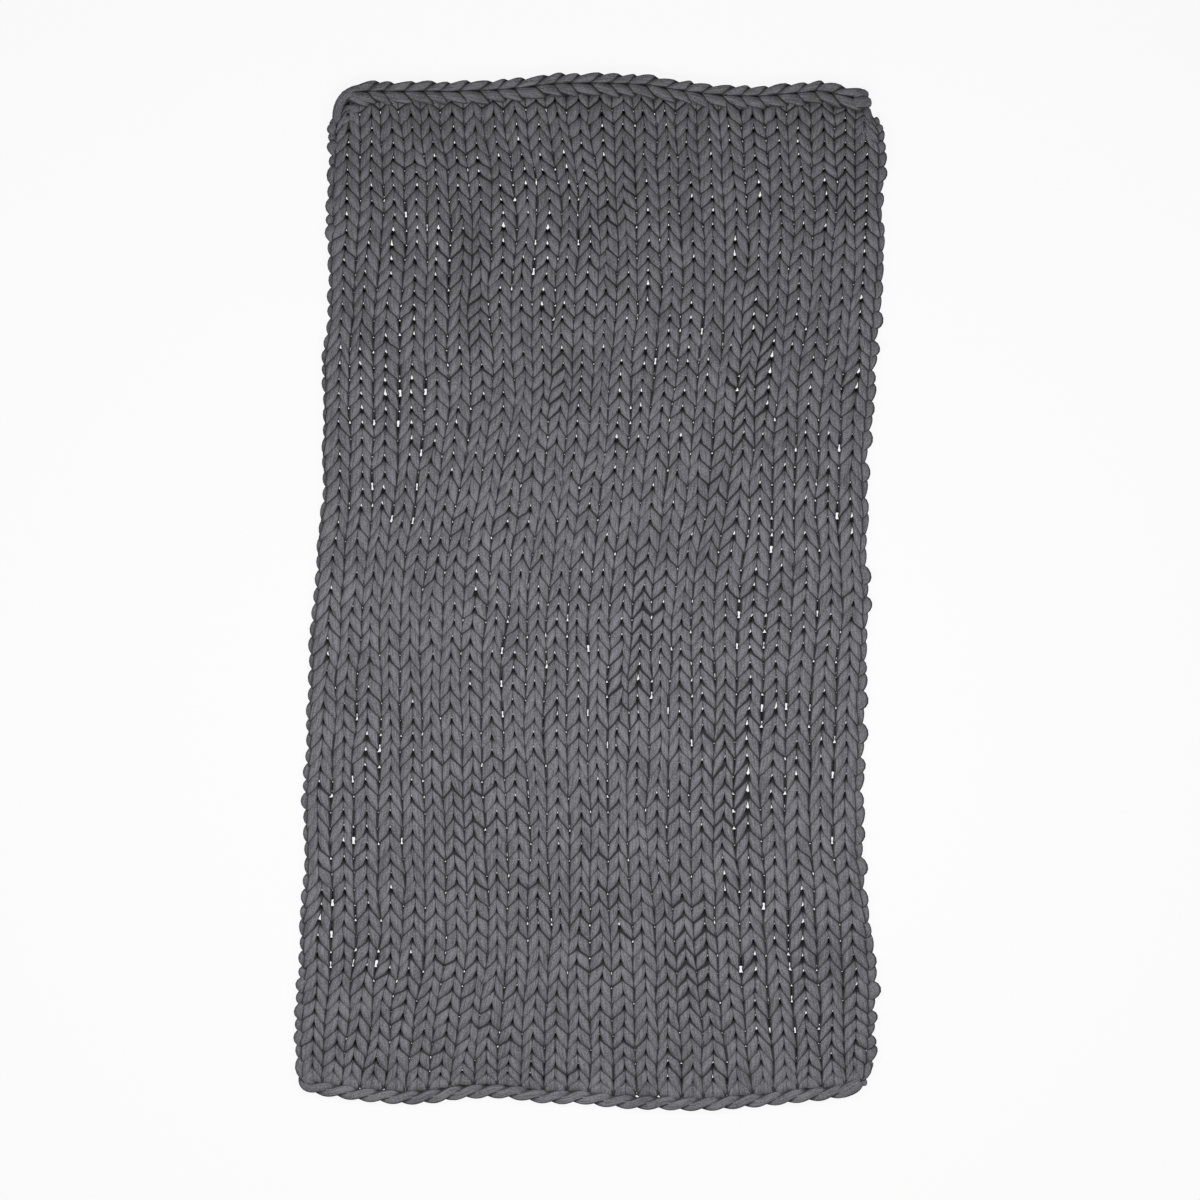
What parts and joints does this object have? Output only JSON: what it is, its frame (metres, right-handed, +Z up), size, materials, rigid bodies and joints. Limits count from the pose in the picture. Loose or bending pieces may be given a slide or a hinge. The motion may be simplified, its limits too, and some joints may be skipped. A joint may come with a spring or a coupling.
{
  "type": "chunky knit weighted blanket",
  "caption": "Chunky hand-knitted blanket of thick grey tube yarn, laid out flat, with a chained top edge, a rope-like lower edge and knotted sides.",
  "frame": {"origin": "middle of the blanket's outline, on the surface it lies on", "axes": "+X to the right across the wales, +Y from the rope-like lower edge to the chained top edge, +Z up out of the blanket's face"},
  "size_m": [1.0538, 1.8342, 0.0319],
  "materials": {
    "yarn": "matte charcoal-grey knitted tube yarn"
  },
  "bodies": {
    "root": {"knit_blanket": "yarn"}
  },
  "joints": []
}
